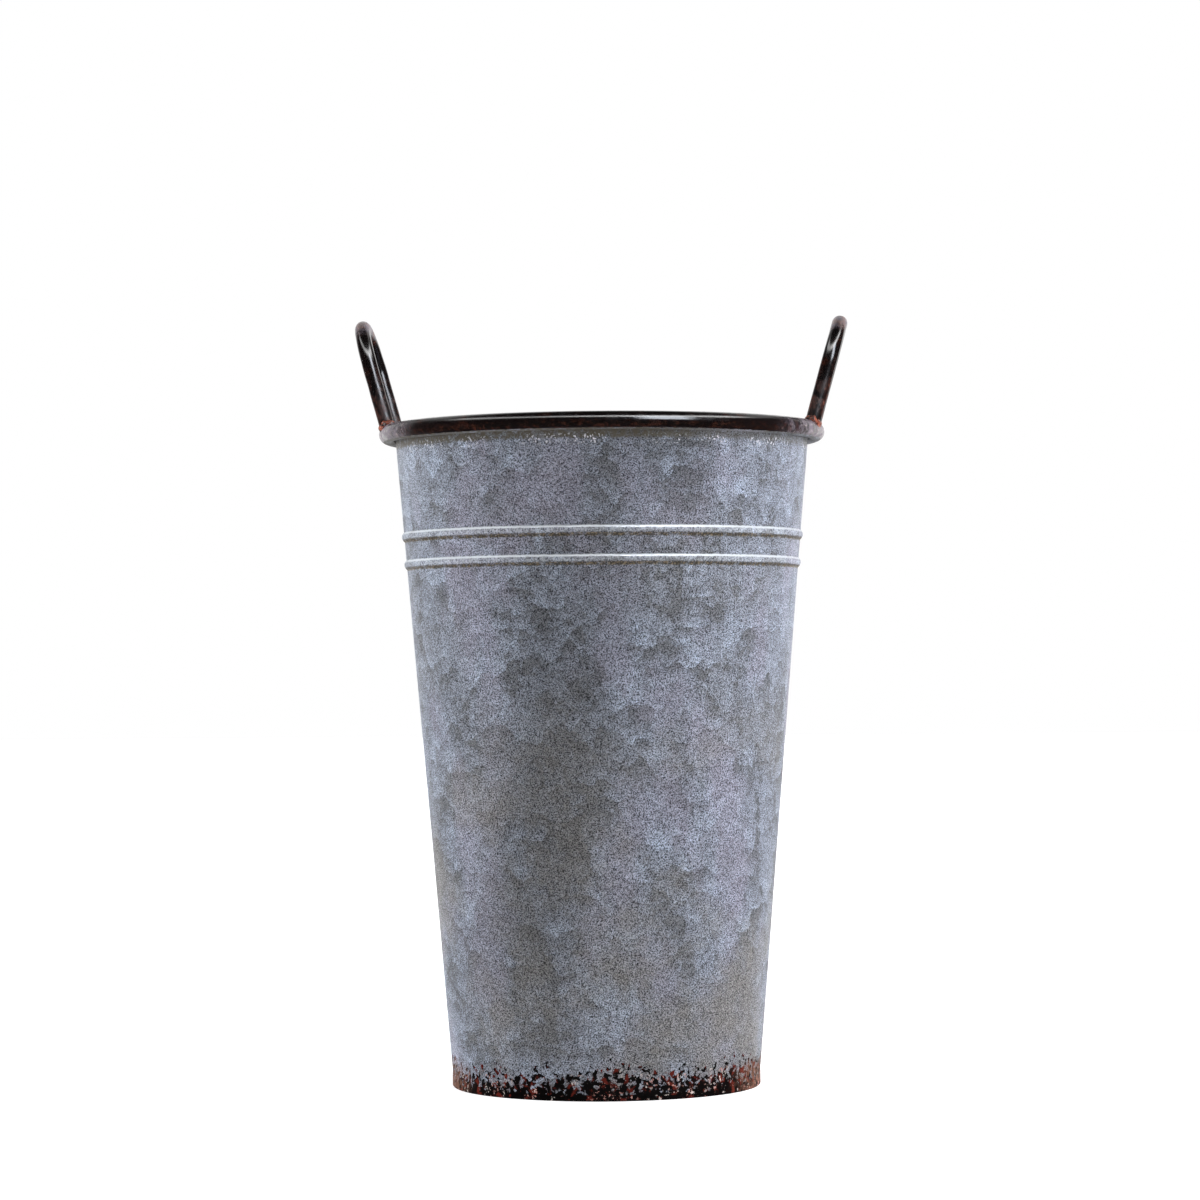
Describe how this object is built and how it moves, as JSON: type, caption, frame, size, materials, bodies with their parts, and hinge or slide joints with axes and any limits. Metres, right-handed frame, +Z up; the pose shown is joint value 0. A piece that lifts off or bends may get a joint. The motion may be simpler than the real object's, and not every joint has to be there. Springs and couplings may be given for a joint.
{
  "type": "florist bucket",
  "caption": "Tall tapered galvanised flower bucket with a dark rolled rim, pressed beads below it and fixed loop handles standing up from the rim.",
  "frame": {"origin": "centre of the foot, on the surface that the bucket stands on", "axes": "+Z up along the bucket's axis; the handles stand at -X and +X; -Y is the front and the side seam is at the back, +Y"},
  "size_m": [0.2248, 0.2028, 0.3488],
  "materials": {
    "galvanised_sheet": "spangled zinc, satin, with a dark painted rim and rust at the foot",
    "galvanised_base": "spangled zinc, dull",
    "steel_wire": "plain drawn wire",
    "solder": "dull solder",
    "dark_rod": "glossy black-brown, worn and rusty in places",
    "rusty_weld": "lumpy weld, rust brown through dark paint"
  },
  "bodies": {
    "root": {"wall": "galvanised_sheet", "rim_wire": "steel_wire", "base_pan": "galvanised_base", "base_seal": "solder", "handle_left": "dark_rod", "handle_right": "dark_rod", "weld_left_front": "rusty_weld", "weld_left_back": "rusty_weld", "weld_right_front": "rusty_weld", "weld_right_back": "rusty_weld"}
  },
  "joints": []
}
